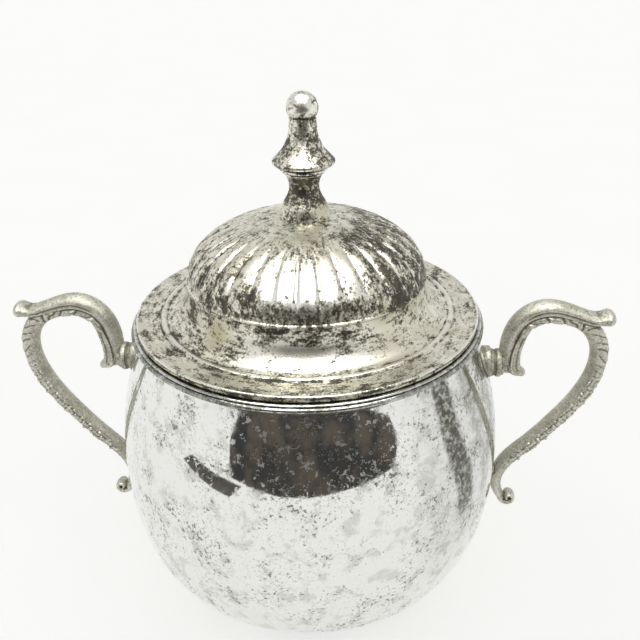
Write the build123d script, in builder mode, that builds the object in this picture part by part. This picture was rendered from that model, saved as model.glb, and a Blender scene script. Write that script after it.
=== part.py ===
from build123d import *
import os
from math import acos, asin, cos, degrees, sin, tan

os.makedirs("parts", exist_ok=True)

# A lidded, two-handled sugar bowl in plated brass, in millimetres.
# Z = 0 is the plane the foot stands on, +Z is up, every ring is centred on the
# Z axis, and the two handles lie along X.

# ---------------------------------------------------------------------------
# Driving dimensions: bowl, rim and foot
# ---------------------------------------------------------------------------
wall = 1.0                  # spun sheet of the bowl
belly_radius = 54.3         # widest radius of the bowl, outside
belly_drop = 39.1           # widest plane above the bowl's flat underside
shoulder_reach = 72.0       # upright half-axis of the ellipse above the widest plane
mouth_draw_in = 8.9         # how far the mouth is drawn in from the belly
neck_height = 3.2           # straight band at the mouth
base_radius = 30.0          # flat underside of the bowl
base_swell = 15.0           # how far the underside runs on before it turns up
side_swell = 26.0           # how far the side runs down before it turns in

rim_ledge = 1.1             # flat top of the rim moulding, outside the mouth
rim_groove = 1.8            # moulding's projection at the groove between its two beads
upper_bead = 1.95           # projection of the upper, fine bead
upper_bead_height = 0.65
upper_bead_crest = 0.22     # fine bead's widest point below the mouth
lower_bead = 2.6            # projection of the lower, bold bead
lower_bead_height = 1.55
rim_skirt = 0.8             # slope that runs from the lower bead back to the bowl

foot_height = 4.0           # bowl's underside above the table
foot_radius = 36.0          # foot ring at the table
foot_wall = 1.4
foot_neck_radius = 33.0     # foot ring where it leaves the bowl
foot_lip = 0.8              # upright edge at the table

# ---------------------------------------------------------------------------
# Driving dimensions: lid and finial
# ---------------------------------------------------------------------------
lid_wall = 0.8              # stamped sheet of the lid
lid_gap = 0.15              # air between the lid's edge wire and the rim
edge_wire_height = 0.75
edge_wire_width = 1.8
edge_inset = 0.1            # lid's edge inside the outer edge of the rim's flat top
ring_inset = 7.3            # raised ring inside the lid's edge
ring_half_width = 0.8
ring_rise = 0.4
lid_shoulder_run = 6.6      # hollow shoulder between the raised ring and the dome
lid_shoulder_rise = 9.34
dome_bead = 0.5             # fine bead where the dome starts
dome_bead_height = 0.9
dome_rise = 15.95
lobe_count = 32             # lobes pressed into the dome, parted by creases
crease_radius = 0.7
crease_depth = 0.3
crease_low = 7.0            # where the creases start and end, in degrees up the dome
crease_high = 64.0

bezel_clearance = 0.5       # radial play of the lid in the mouth
bezel_wall = 0.9
bezel_depth = 5.2           # how far the bezel hangs below the mouth

seat_radius = 6.9           # flat on top of the dome under the finial
finial_base = 6.6
finial_neck = 3.9
finial_collar = 5.3
finial_ring = 6.1
finial_flare = 8.0
finial_stem = 3.42
finial_ball = 4.0
finial_groove = 0.3
finial_groove_width = 0.4
base_draw = 0.5             # how far the base draws in where the neck's sweep starts
collar_edge = 0.5           # collar and ring edges, set back from their widest radii
collar_top_edge = 0.4
ring_edge = 0.1
bell_low = 2.06             # bell's radius beyond the stem's, low down and higher up
bell_high = 0.43
sweep_start = 2.65          # heights above the finial's seat
waist_height = 7.36
neck_top = 11.5
collar_top = 12.2
ring_top = 13.4
flare_height = 14.7
bell_low_height = 18.4
bell_high_height = 21.4
stem_top = 25.5
ball_height = 27.9

stud_radius = 1.5
stud_grip = 8.0             # length of stud inside the finial
stud_tail = 1.0             # length of stud below the nut
stud_clearance = 0.2        # hole in the lid round the stud
washer_radius = 4.5
washer_height = 0.6
nut_across_flats = 5.5
nut_height = 2.4

# ---------------------------------------------------------------------------
# Driving dimensions: handles. Stations are (x, z, thickness, breadth): x is
# measured out from the bowl's widest radius and z up from its widest plane,
# thickness lies in the handle's own plane and breadth lies across it.
# ---------------------------------------------------------------------------
spine_stations = [
    (1.6, 25.5, 3.4, 4.2),
    (1.4, 31.0, 4.5, 5.0),
    (2.5, 37.9, 4.4, 5.6),
    (5.7, 42.4, 4.3, 5.8),
    (10.7, 44.5, 4.2, 6.0),
    (16.5, 43.7, 3.7, 6.0),
    (22.0, 41.9, 3.1, 6.2),
    (25.8, 41.4, 3.2, 6.6),
    (29.1, 41.8, 4.1, 7.2),
]
tongue_stations = [
    (6.5, 39.4, 2.8, 4.6),
    (4.4, 36.0, 3.7, 6.0),
    (3.2, 31.8, 4.2, 6.4),
    (3.0, 27.8, 4.5, 6.4),
    (4.0, 25.2, 3.8, 5.8),
    (5.9, 24.1, 2.2, 3.8),
]
arm_stations = [
    (3.8, 35.8, 2.6, 4.2),
    (6.4, 39.4, 3.0, 4.8),
    (10.5, 41.5, 3.4, 5.2),
    (16.5, 41.6, 3.9, 5.4),
    (22.4, 39.0, 4.6, 5.4),
    (25.8, 34.2, 5.0, 5.5),
    (26.5, 28.0, 5.0, 5.5),
    (24.7, 20.5, 5.0, 5.5),
    (21.1, 13.6, 4.9, 5.4),
    (16.0, 6.6, 4.7, 5.2),
    (9.9, -0.7, 4.6, 5.0),
    (4.6, -6.7, 4.4, 4.8),
    (2.2, -12.4, 3.8, 4.5),
    (2.4, -17.0, 3.1, 4.2),
    (4.1, -20.8, 2.3, 4.0),
]
volute_x = 6.2
volute_z = -20.6
volute_radius = 2.4
volute_breadth = 4.6
solder_z = -10.2            # lower joint between the arm and the bowl
solder_radius = 2.0
solder_reach = 2.8          # the arm's centre line beyond the widest radius, at the joint

socket_z = 26.8             # collar's axis above the widest plane
socket_sink = 0.8           # how far the handle's root is let into the collar
socket_skirt = 0.6          # length of the collar's flared edge along the top of its skirt
socket_flare = 4.8          # radii of the collar from the bowl outwards
socket_groove = 3.75
socket_bead = 4.1
socket_throat = 3.55

# ---------------------------------------------------------------------------
# Derived sizes
# ---------------------------------------------------------------------------
belly_z = foot_height + belly_drop
mouth_radius = belly_radius - mouth_draw_in
shoulder_angle = acos(mouth_radius / belly_radius)
neck_z = belly_z + shoulder_reach * sin(shoulder_angle)
mouth_z = neck_z + neck_height

lid_radius = mouth_radius + rim_ledge - edge_inset
edge_z = mouth_z + lid_gap
flange_z = edge_z + edge_wire_height
flange_top = flange_z + lid_wall
ring_radius = lid_radius - ring_inset
shoulder_radius = ring_radius - ring_half_width
dome_radius = shoulder_radius - lid_shoulder_run
dome_base_z = flange_top + lid_shoulder_rise
dome_z = dome_base_z + dome_bead_height
seat_angle = acos(seat_radius / dome_radius)
seat_z = dome_z + dome_rise * sin(seat_angle)
ceiling_z = seat_z - lid_wall
ceiling_angle = asin((ceiling_z - dome_z) / (dome_rise - lid_wall))
washer_z = ceiling_z - washer_height
nut_z = washer_z - nut_height


# ---------------------------------------------------------------------------
# Curves that several pieces share
# ---------------------------------------------------------------------------
def bowl_side(inset):
    """Half outline of the bowl from its underside up to the neck, inset from the outer face."""
    belly = belly_radius - inset
    mouth = mouth_radius - inset
    floor = foot_height + inset
    Bezier(
        (base_radius, floor),
        (base_radius + base_swell - inset, floor),
        (belly, belly_z - side_swell),
        (belly, belly_z),
    )
    # The shoulder follows an ellipse centred on the axis; these are its Bezier handles.
    angle = acos(mouth / belly)
    reach = (neck_z - belly_z) / sin(angle)
    pull = 4 / 3 * tan(angle / 4)
    Bezier(
        (belly, belly_z),
        (belly, belly_z + pull * reach),
        (mouth + pull * belly * sin(angle), neck_z - pull * reach * cos(angle)),
        (mouth, neck_z),
    )


def shoulder_at(height):
    """Outer radius of the bowl at a height above its widest plane."""
    return belly_radius * cos(asin(height / shoulder_reach))


def cast_limb(stations):
    """Cast limb: ellipses square to a smooth route through the stations, lofted end to end."""
    spots = [Vector(belly_radius + x, 0, belly_z + z) for x, z, _, _ in stations]
    route = Spline(*spots)
    with BuildPart() as limb:
        for spot, (_, _, thickness, breadth) in zip(spots, stations):
            heading = route % route.param_at_point(spot)
            with BuildSketch(Plane(origin=spot, x_dir=(0, 1, 0), z_dir=heading)):
                Ellipse(breadth / 2, thickness / 2)
        loft()
    return limb.part


# Solid that fills the bowl's outer face, used to fit what is soldered to it.
with BuildPart() as bowl_form:
    with BuildSketch(Plane.XZ):
        with BuildLine():
            bowl_side(0)
            Polyline(
                (mouth_radius, neck_z),
                (mouth_radius, mouth_z),
                (0, mouth_z),
                (0, foot_height),
                (base_radius, foot_height),
            )
        make_face()
    revolve(axis=Axis.Z)


# ---------------------------------------------------------------------------
# Bowl: one spun shell, open at the mouth
# ---------------------------------------------------------------------------
with BuildPart() as bowl_body:
    with BuildSketch(Plane.XZ):
        with BuildLine():
            bowl_side(0)
            Polyline(
                (mouth_radius, neck_z),
                (mouth_radius, mouth_z),
                (mouth_radius - wall, mouth_z),
                (mouth_radius - wall, neck_z),
            )
            bowl_side(wall)
            Polyline(
                (base_radius, foot_height + wall),
                (0, foot_height + wall),
                (0, foot_height),
                (base_radius, foot_height),
            )
        make_face()
    revolve(axis=Axis.Z)


# ---------------------------------------------------------------------------
# Rim moulding: a fine bead over a bold bead, soldered round the mouth
# ---------------------------------------------------------------------------
groove_z = mouth_z - upper_bead_height
bead_foot_z = groove_z - lower_bead_height
with BuildPart() as rim_moulding:
    with BuildSketch(Plane.XZ):
        with BuildLine():
            Line((mouth_radius, mouth_z), (mouth_radius + rim_ledge, mouth_z))
            ThreePointArc(
                (mouth_radius + rim_ledge, mouth_z),
                (mouth_radius + upper_bead, mouth_z - upper_bead_crest),
                (mouth_radius + rim_groove, groove_z),
            )
            ThreePointArc(
                (mouth_radius + rim_groove, groove_z),
                (mouth_radius + lower_bead, groove_z - lower_bead_height / 2),
                (mouth_radius + rim_groove, bead_foot_z),
            )
            Polyline(
                (mouth_radius + rim_groove, bead_foot_z),
                (mouth_radius, bead_foot_z - rim_skirt),
                (mouth_radius, mouth_z),
            )
        make_face()
    revolve(axis=Axis.Z)
    add(bowl_form.part, mode=Mode.SUBTRACT)


# ---------------------------------------------------------------------------
# Foot ring: a low spun ring, flared to the table and soldered under the bowl
# ---------------------------------------------------------------------------
with BuildPart() as foot_ring:
    with BuildSketch(Plane.XZ):
        with BuildLine():
            foot_joint_z = foot_height + foot_wall
            RadiusArc((foot_neck_radius, foot_joint_z), (foot_radius, foot_lip), foot_joint_z)
            Polyline((foot_radius, foot_lip), (foot_radius, 0), (foot_radius - foot_wall, 0))
            RadiusArc(
                (foot_radius - foot_wall, 0),
                (foot_neck_radius - foot_wall, foot_height),
                -foot_joint_z,
            )
            Polyline(
                (foot_neck_radius - foot_wall, foot_height),
                (foot_neck_radius - foot_wall, foot_joint_z),
                (foot_neck_radius, foot_joint_z),
            )
        make_face()
    revolve(axis=Axis.Z)
    add(bowl_form.part, mode=Mode.SUBTRACT)


# ---------------------------------------------------------------------------
# Handles: a spine with a thumb tip, a leaf tongue inside the loop, and an arm
# that ends in a volute; each is one casting, soldered to the bowl low down
# ---------------------------------------------------------------------------
with BuildPart() as handle_right:
    add(cast_limb(spine_stations))
    add(cast_limb(tongue_stations))
    add(cast_limb(arm_stations))
    with BuildSketch(Plane.XZ):
        with Locations((belly_radius + volute_x, belly_z + volute_z)):
            Circle(volute_radius)
    extrude(amount=volute_breadth / 2, both=True)
    with BuildSketch(Plane.YZ.offset(belly_radius - wall)):
        with Locations((0, belly_z + solder_z)):
            Circle(solder_radius)
    extrude(amount=wall + solder_reach)
    add(bowl_form.part, mode=Mode.SUBTRACT)

with BuildPart() as handle_left:
    add(mirror(handle_right.part, about=Plane.YZ, mode=Mode.PRIVATE))


# ---------------------------------------------------------------------------
# Handle collars: turned sockets between the bowl's shoulder and the handles,
# each a flared skirt, a groove and a bead
# ---------------------------------------------------------------------------
socket_height = belly_z + socket_z
socket_start = shoulder_at(socket_z + socket_flare) - wall
root_x, _, root_thickness, _ = spine_stations[0]
socket_end = belly_radius + root_x - root_thickness / 2 + socket_sink
skirt_end = shoulder_at(socket_z) + socket_skirt
bead_end = socket_end - socket_sink
bead_start = (skirt_end + bead_end) / 2
with BuildPart() as handle_right_collar:
    with BuildSketch(Plane.XZ.shift_origin((0, 0, socket_height))):
        with BuildLine():
            Polyline(
                (skirt_end, socket_flare),
                (socket_start, socket_flare),
                (socket_start, 0),
                (socket_end, 0),
                (socket_end, socket_throat),
                (bead_end, socket_throat),
            )
            ThreePointArc(
                (bead_end, socket_throat),
                ((bead_start + bead_end) / 2, socket_bead),
                (bead_start, socket_groove),
            )
            RadiusArc((bead_start, socket_groove), (skirt_end, socket_flare), -socket_flare)
        make_face()
    revolve(axis=Axis((0, 0, socket_height), (1, 0, 0)))
    add(bowl_form.part, mode=Mode.SUBTRACT)
    add(handle_right.part, mode=Mode.SUBTRACT)

with BuildPart() as handle_left_collar:
    add(mirror(handle_right_collar.part, about=Plane.YZ, mode=Mode.PRIVATE))


# ---------------------------------------------------------------------------
# Lid shell: flat flange, raised ring, hollow shoulder, bead and lobed dome
# ---------------------------------------------------------------------------
crease_offset = crease_radius - crease_depth
with BuildPart() as lid_shell:
    with BuildSketch(Plane.XZ):
        with BuildLine():
            Polyline(
                (shoulder_radius, flange_z),
                (lid_radius, flange_z),
                (lid_radius, flange_top),
                (ring_radius + ring_half_width, flange_top),
            )
            ThreePointArc(
                (ring_radius + ring_half_width, flange_top),
                (ring_radius, flange_top + ring_rise),
                (shoulder_radius, flange_top),
            )
            EllipticalCenterArc((shoulder_radius, dome_base_z), lid_shoulder_run, lid_shoulder_rise, 180)
            ThreePointArc(
                (dome_radius, dome_base_z),
                (dome_radius + dome_bead, dome_base_z + dome_bead_height / 2),
                (dome_radius, dome_z),
            )
            EllipticalCenterArc((0, dome_z), dome_radius, dome_rise, arc_size=degrees(seat_angle))
            ceiling_radius = (dome_radius - lid_wall) * cos(ceiling_angle)
            Polyline(
                (seat_radius, seat_z),
                (stud_radius + stud_clearance, seat_z),
                (stud_radius + stud_clearance, ceiling_z),
                (ceiling_radius, ceiling_z),
            )
            EllipticalCenterArc(
                (0, dome_z), dome_radius - lid_wall, dome_rise - lid_wall, arc_size=degrees(ceiling_angle)
            )
            Line((dome_radius - lid_wall, dome_z), (dome_radius - lid_wall, dome_base_z))
            EllipticalCenterArc(
                (shoulder_radius, dome_base_z),
                lid_shoulder_run + lid_wall,
                lid_shoulder_rise + lid_wall,
                180,
            )
        make_face()
    revolve(axis=Axis.Z)
    with BuildLine(Plane.XZ) as crease_line:
        EllipticalCenterArc(
            (0, dome_z),
            dome_radius + crease_offset,
            dome_rise + crease_offset,
            crease_low,
            arc_size=crease_high - crease_low,
        )
    with BuildSketch(Plane(origin=crease_line.line @ 0, z_dir=crease_line.line % 0)):
        Circle(crease_radius)
    crease_cutter = sweep(mode=Mode.PRIVATE)
    with PolarLocations(0, lobe_count):
        add(crease_cutter, mode=Mode.SUBTRACT)


# ---------------------------------------------------------------------------
# Lid edge wire and bezel, soldered under the flange
# ---------------------------------------------------------------------------
with BuildPart() as lid_edge:
    with BuildSketch(Plane.XY.offset(edge_z)):
        Circle(lid_radius)
        Circle(lid_radius - edge_wire_width, mode=Mode.SUBTRACT)
    extrude(amount=edge_wire_height)

bezel_radius = mouth_radius - wall - bezel_clearance
with BuildPart() as lid_bezel:
    with BuildSketch(Plane.XY.offset(mouth_z - bezel_depth)):
        Circle(bezel_radius)
        Circle(bezel_radius - bezel_wall, mode=Mode.SUBTRACT)
    extrude(amount=bezel_depth + flange_z - mouth_z)


# ---------------------------------------------------------------------------
# Finial: turned neck, two rings, flared bell and ball, bored for its stud
# ---------------------------------------------------------------------------
ball_bottom = stem_top + finial_groove_width
ball_angle = asin((ball_height - ball_bottom) / finial_ball)
with BuildPart() as finial:
    with BuildSketch(Plane.XZ.shift_origin((0, 0, seat_z))):
        with BuildLine():
            Spline(
                (finial_base, 0),
                (finial_base - base_draw, sweep_start),
                (finial_neck, waist_height),
                (finial_collar - collar_edge, neck_top),
            )
            ThreePointArc(
                (finial_collar - collar_edge, neck_top),
                (finial_collar, (neck_top + collar_top) / 2),
                (finial_collar - collar_top_edge, collar_top),
            )
            ThreePointArc(
                (finial_collar - collar_top_edge, collar_top),
                (finial_ring, (collar_top + ring_top) / 2),
                (finial_ring - ring_edge, ring_top),
            )
            Line((finial_ring - ring_edge, ring_top), (finial_flare, flare_height))
            Spline(
                (finial_flare, flare_height),
                (finial_stem + bell_low, bell_low_height),
                (finial_stem + bell_high, bell_high_height),
                (finial_stem, stem_top),
            )
            Polyline(
                (finial_stem, stem_top),
                (finial_stem - finial_groove, stem_top),
                (finial_stem - finial_groove, ball_bottom),
                (finial_ball * cos(ball_angle), ball_bottom),
            )
            CenterArc((0, ball_height), finial_ball, -degrees(ball_angle), 90 + degrees(ball_angle))
            Polyline((0, ball_height + finial_ball), (0, 0), (finial_base, 0))
        make_face()
    revolve(axis=Axis.Z)
    with Locations(Plane.XY.offset(seat_z)):
        Cylinder(
            stud_radius, stud_grip, align=(Align.CENTER, Align.CENTER, Align.MIN), mode=Mode.SUBTRACT
        )


# ---------------------------------------------------------------------------
# Finial fixings under the dome: stud, washer and hexagon nut
# ---------------------------------------------------------------------------
with BuildPart() as finial_stud:
    with BuildSketch(Plane.XY.offset(nut_z - stud_tail)):
        Circle(stud_radius)
    extrude(amount=seat_z + stud_grip - (nut_z - stud_tail))

with BuildPart() as finial_washer:
    with BuildSketch(Plane.XY.offset(washer_z)):
        Circle(washer_radius)
        Circle(stud_radius, mode=Mode.SUBTRACT)
    extrude(amount=washer_height)

with BuildPart() as finial_nut:
    with BuildSketch(Plane.XY.offset(nut_z)):
        RegularPolygon(nut_across_flats / 2, 6, major_radius=False)
        Circle(stud_radius, mode=Mode.SUBTRACT)
    extrude(amount=nut_height)


# ---------------------------------------------------------------------------
# One file for each piece
# ---------------------------------------------------------------------------
pieces = {
    "bowl_body": bowl_body,
    "rim_moulding": rim_moulding,
    "foot_ring": foot_ring,
    "handle_left": handle_left,
    "handle_right": handle_right,
    "handle_left_collar": handle_left_collar,
    "handle_right_collar": handle_right_collar,
    "lid_shell": lid_shell,
    "lid_edge": lid_edge,
    "lid_bezel": lid_bezel,
    "finial": finial,
    "finial_stud": finial_stud,
    "finial_washer": finial_washer,
    "finial_nut": finial_nut,
}
for name, piece in pieces.items():
    piece.part.label = name
    export_step(piece.part, f"parts/{name}.step")
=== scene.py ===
"""Silver-plate sugar bowl: finished surfaces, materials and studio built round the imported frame."""

import math

import bpy
import numpy as np
from mathutils import Matrix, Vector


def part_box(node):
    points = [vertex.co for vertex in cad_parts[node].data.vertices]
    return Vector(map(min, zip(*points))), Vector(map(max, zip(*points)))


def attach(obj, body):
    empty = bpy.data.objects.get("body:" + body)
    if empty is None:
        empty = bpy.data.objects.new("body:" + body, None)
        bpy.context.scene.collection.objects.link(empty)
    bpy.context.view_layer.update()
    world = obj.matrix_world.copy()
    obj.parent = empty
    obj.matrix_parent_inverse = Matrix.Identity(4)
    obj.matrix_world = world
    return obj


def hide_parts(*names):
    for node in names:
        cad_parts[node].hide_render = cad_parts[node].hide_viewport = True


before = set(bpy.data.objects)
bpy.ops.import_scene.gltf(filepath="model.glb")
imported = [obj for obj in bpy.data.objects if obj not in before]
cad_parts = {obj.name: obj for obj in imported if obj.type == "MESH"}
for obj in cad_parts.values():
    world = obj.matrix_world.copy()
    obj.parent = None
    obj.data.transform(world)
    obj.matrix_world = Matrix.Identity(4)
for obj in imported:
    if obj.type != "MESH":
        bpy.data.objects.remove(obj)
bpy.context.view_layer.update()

MM = 0.001
TURN = 2 * math.pi

# Points round each turned piece and each cast limb
AROUND_BOWL = 360
AROUND_RING = 288
AROUND_EDGE = 320
AROUND_FINIAL = 200
AROUND_COLLAR = 128
AROUND_LIMB = 80

# Sizes read from the frame, in metres
bowl_low, bowl_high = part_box("bowl_body")
rim_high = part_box("rim_moulding")[1]
foot_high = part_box("foot_ring")[1]
lid_low, lid_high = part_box("lid_shell")
edge_low, edge_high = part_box("lid_edge")
bezel_low, bezel_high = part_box("lid_bezel")
finial_low, finial_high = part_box("finial")
collar_low, collar_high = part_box("handle_right_collar")

BELLY_RADIUS = bowl_high.x
UNDERSIDE_Z = bowl_low.z
MOUTH_Z = bowl_high.z
BELLY_Z = UNDERSIDE_Z + 39.1 * MM
LID_RADIUS = lid_high.x
FLANGE_Z = lid_low.z
SEAT_Z = finial_low.z

# Sizes of the bowl
WALL = 1.0 * MM
MOUTH_RADIUS = BELLY_RADIUS - 8.9 * MM
NECK_Z = MOUTH_Z - 3.2 * MM
BASE_RADIUS = 30.0 * MM
BASE_SWELL = 15.0 * MM
SIDE_SWELL = 26.0 * MM
SHOULDER_REACH = 72.0 * MM
LIP_ROUND = 0.25 * MM

# Sizes of the lid
LID_WALL = 0.8 * MM
FLANGE_TOP = FLANGE_Z + LID_WALL
RING_RADIUS = LID_RADIUS - 7.3 * MM
RING_HALF = 0.8 * MM
RING_RISE = 0.4 * MM
SHOULDER_RADIUS = RING_RADIUS - RING_HALF
SHOULDER_RUN = 6.6 * MM
SHOULDER_RISE = 9.34 * MM
DOME_RADIUS = SHOULDER_RADIUS - SHOULDER_RUN
DOME_BASE_Z = FLANGE_TOP + SHOULDER_RISE
DOME_BEAD = 0.5 * MM
DOME_BEAD_HEIGHT = 0.9 * MM
DOME_Z = DOME_BASE_Z + DOME_BEAD_HEIGHT
DOME_RISE = 15.95 * MM
LOBES = 32
LOBE_LOW = math.radians(4)
LOBE_HIGH = math.radians(60)
CREASE_DEPTH = 0.26 * MM
CREASE_WIDTH = 0.66 * MM
LOBE_SWELL = 0.24 * MM
SEAT_RADIUS = 6.9 * MM


# Outlines: lists of (radius, height)
def line(a, b, count):
    """Even points from a to b, without b."""
    a, b = np.array(a), np.array(b)
    return [tuple(a + (b - a) * i / count) for i in range(count)]


def arc(centre, reach, start, end, count):
    """Points along an ellipse arc, angles in degrees, without the last."""
    angles = np.radians(np.linspace(start, end, count, endpoint=False))
    return [(centre[0] + reach[0] * math.cos(a), centre[1] + reach[1] * math.sin(a)) for a in angles]


def bezier(a, b, c, d, count):
    """Points along a cubic Bezier, without the last."""
    a, b, c, d = (np.array(p) for p in (a, b, c, d))
    out = []
    for t in np.linspace(0, 1, count, endpoint=False):
        u = 1 - t
        out.append(tuple(u**3 * a + 3 * u * u * t * b + 3 * u * t * t * c + t**3 * d))
    return out


def smooth_spline(points, count):
    """Natural cubic spline through the points, sampled at even steps; each row keeps the points' columns."""
    points = np.array(points, float)
    n = len(points)
    chord = np.r_[0, np.cumsum(np.linalg.norm(np.diff(points[:, :2], axis=0), axis=1))]
    gap = np.diff(chord)
    system = np.zeros((n, n))
    right = np.zeros_like(points)
    system[0, 0] = system[-1, -1] = 1
    for i in range(1, n - 1):
        system[i, i - 1 : i + 2] = gap[i - 1], 2 * (gap[i - 1] + gap[i]), gap[i]
        right[i] = 6 * ((points[i + 1] - points[i]) / gap[i] - (points[i] - points[i - 1]) / gap[i - 1])
    bend = np.linalg.solve(system, right)
    fine = np.linspace(0, chord[-1], 20 * count)
    k = np.clip(np.searchsorted(chord, fine, side="right") - 1, 0, n - 2)
    t, h = (fine - chord[k])[:, None], gap[k][:, None]
    a, b = points[k], points[k + 1]
    rows = (
        a
        + t * ((b - a) / h - h * (2 * bend[k] + bend[k + 1]) / 6)
        + t**2 * bend[k] / 2
        + t**3 * (bend[k + 1] - bend[k]) / (6 * h)
    )
    run = np.r_[0, np.cumsum(np.linalg.norm(np.diff(rows[:, :2], axis=0), axis=1))]
    even = np.linspace(0, run[-1], count)
    return np.array([np.interp(even, run, rows[:, c]) for c in range(rows.shape[1])]).T, even


# Meshes
def mesh_object(name, verts, faces, masks=None):
    """A smooth-shaded mesh object with its faces turned outwards."""
    mesh = bpy.data.meshes.new(name)
    mesh.from_pydata([tuple(v) for v in verts], [], faces)
    mesh.update()
    mesh.calc_loop_triangles()
    corners = np.zeros(len(mesh.loop_triangles) * 3, np.int32)
    mesh.loop_triangles.foreach_get("vertices", corners)
    at = vertex_array(mesh)[corners.reshape(-1, 3)]
    if np.einsum("ij,ij->i", at[:, 0], np.cross(at[:, 1], at[:, 2])).sum() < 0:
        mesh.flip_normals()
    mesh.shade_smooth()
    for key, values in (masks or {}).items():
        mask = mesh.attributes.new(key, "FLOAT", "POINT")
        mask.data.foreach_set("value", np.asarray(values, np.float32))
    thing = bpy.data.objects.new(name, mesh)
    bpy.context.scene.collection.objects.link(thing)
    return thing


def vertex_array(mesh):
    flat = np.zeros(len(mesh.vertices) * 3, np.float32)
    mesh.vertices.foreach_get("co", flat)
    return flat.reshape(-1, 3).astype(float)


def lathe_grid(outline, segments):
    """Vertices and faces of a closed outline turned about Z; points on the axis become poles."""
    outline = np.array(outline)
    angles = np.arange(segments) * TURN / segments
    verts, index = [], []
    for radius, height in outline:
        if radius < 1e-7:
            index.append([len(verts)] * segments)
            verts.append((0.0, 0.0, height))
        else:
            index.append(list(range(len(verts), len(verts) + segments)))
            verts.extend(zip(radius * np.cos(angles), radius * np.sin(angles), np.full(segments, height)))
    faces = []
    rows = len(outline)
    for i in range(rows):
        low, high = index[i], index[(i + 1) % rows]
        if low[0] == low[-1] and high[0] == high[-1]:
            continue
        for j in range(segments):
            k = (j + 1) % segments
            corners = [low[j], low[k], high[k], high[j]]
            faces.append(tuple(dict.fromkeys(corners)))
    return np.array(verts), faces


def finish_piece(piece, node, body, material):
    """Put a finished piece in the place of its CAD node."""
    piece.data.materials.clear()
    piece.data.materials.append(material)
    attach(piece, body)
    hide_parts(node)
    return piece


def smoothstep(low, high, value):
    t = np.clip((value - low) / (high - low), 0, 1)
    return t * t * (3 - 2 * t)


def band(low, low_end, high_start, high, value):
    """1 between low_end and high_start, fading to 0 at low and at high."""
    return smoothstep(low, low_end, value) * (1 - smoothstep(high_start, high, value))


def peak(value, centre, width):
    return np.exp(-(((value - centre) / width) ** 2))


def cylindrical(verts):
    """Radius from the axis and azimuth from the front, in degrees, of each point."""
    return np.hypot(verts[:, 0], verts[:, 1]), np.degrees(np.arctan2(verts[:, 0], -verts[:, 1]))


# Bowl, rim moulding and foot
def bowl_side(inset, count):
    """Outline from the underside up to the neck, moved in by inset."""
    belly, mouth, floor = BELLY_RADIUS - inset, MOUTH_RADIUS - inset, UNDERSIDE_Z + inset
    angle = math.acos(mouth / belly)
    reach = (NECK_Z - BELLY_Z) / math.sin(angle)
    pull = 4 / 3 * math.tan(angle / 4)
    low = bezier(
        (BASE_RADIUS, floor),
        (BASE_RADIUS + BASE_SWELL - inset, floor),
        (belly, BELLY_Z - SIDE_SWELL),
        (belly, BELLY_Z),
        count,
    )
    high = bezier(
        (belly, BELLY_Z),
        (belly, BELLY_Z + pull * reach),
        (mouth + pull * belly * math.sin(angle), NECK_Z - pull * reach * math.cos(angle)),
        (mouth, NECK_Z),
        count,
    )
    return low + high


def bowl_radius_at(height):
    """Outer radius of the bowl above its widest plane."""
    return BELLY_RADIUS * np.sqrt(1 - ((height - BELLY_Z) / SHOULDER_REACH) ** 2)


def make_bowl(material):
    inner_mouth = MOUTH_RADIUS - WALL
    lip = LIP_ROUND
    outline = line((0, UNDERSIDE_Z), (BASE_RADIUS, UNDERSIDE_Z), 12) + bowl_side(0, 56)
    outline += line((MOUTH_RADIUS, NECK_Z), (MOUTH_RADIUS, MOUTH_Z - lip), 5)
    outline += arc((MOUTH_RADIUS - lip, MOUTH_Z - lip), (lip, lip), 0, 90, 4)
    outline += arc((inner_mouth + lip, MOUTH_Z - lip), (lip, lip), 90, 180, 4)
    outline += line((inner_mouth, MOUTH_Z - lip), (inner_mouth, NECK_Z), 5)
    outline += list(reversed(bowl_side(WALL, 44) + [(inner_mouth, NECK_Z)]))[1:]
    outline += line((BASE_RADIUS, UNDERSIDE_Z + WALL), (0, UNDERSIDE_Z + WALL), 10)[1:]
    outline += [(0, UNDERSIDE_Z + WALL)]
    verts, faces = lathe_grid(outline, AROUND_BOWL)
    radius, azimuth = cylindrical(verts)
    neck = smoothstep(NECK_Z - 0.6 * MM, NECK_Z + 0.8 * MM, verts[:, 2])
    inside = radius < np.interp(verts[:, 2], *bowl_wall_middle())
    high = smoothstep(BELLY_Z - 1 * MM, BELLY_Z + 8 * MM, verts[:, 2])
    # Painted reflections: dark strips and a broad darker band on the bowl's right side stand in for the
    # handle and surroundings reflected there. The neck band under the rim moulding and the inside are
    # tarnish.
    sway = azimuth + 0.12 * (verts[:, 2] - BELLY_Z) / MM + 0.8 * np.sin(verts[:, 2] / (5 * MM))
    painted_reflection_strips = 0.64 * band(48, 49.5, 55, 57, sway) * high
    painted_reflection_strips += 0.24 * band(60, 63, 67, 70, sway) * high + 0.30 * band(72, 75, 79, 84, sway)
    painted_reflection_strips += 0.16 * band(30, 42, 84, 96, azimuth)
    painted_reflection_strips *= smoothstep(BELLY_Z - 22 * MM, BELLY_Z + 2 * MM, verts[:, 2])
    darkening = np.where(inside, 0.30, np.maximum(0.55 * neck, painted_reflection_strips))
    piece = mesh_object("bowl_shell", verts, faces, {"tarnish_and_painted_shade": darkening})
    spun_waviness(piece.data)
    return finish_piece(piece, "bowl_body", "bowl", material)


def bowl_wall_middle():
    """Heights and radii of the middle of the bowl's wall."""
    middle = np.array(bowl_side(WALL / 2, 60) + [(MOUTH_RADIUS - WALL / 2, MOUTH_Z)])
    return middle[:, 1], middle[:, 0]


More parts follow.
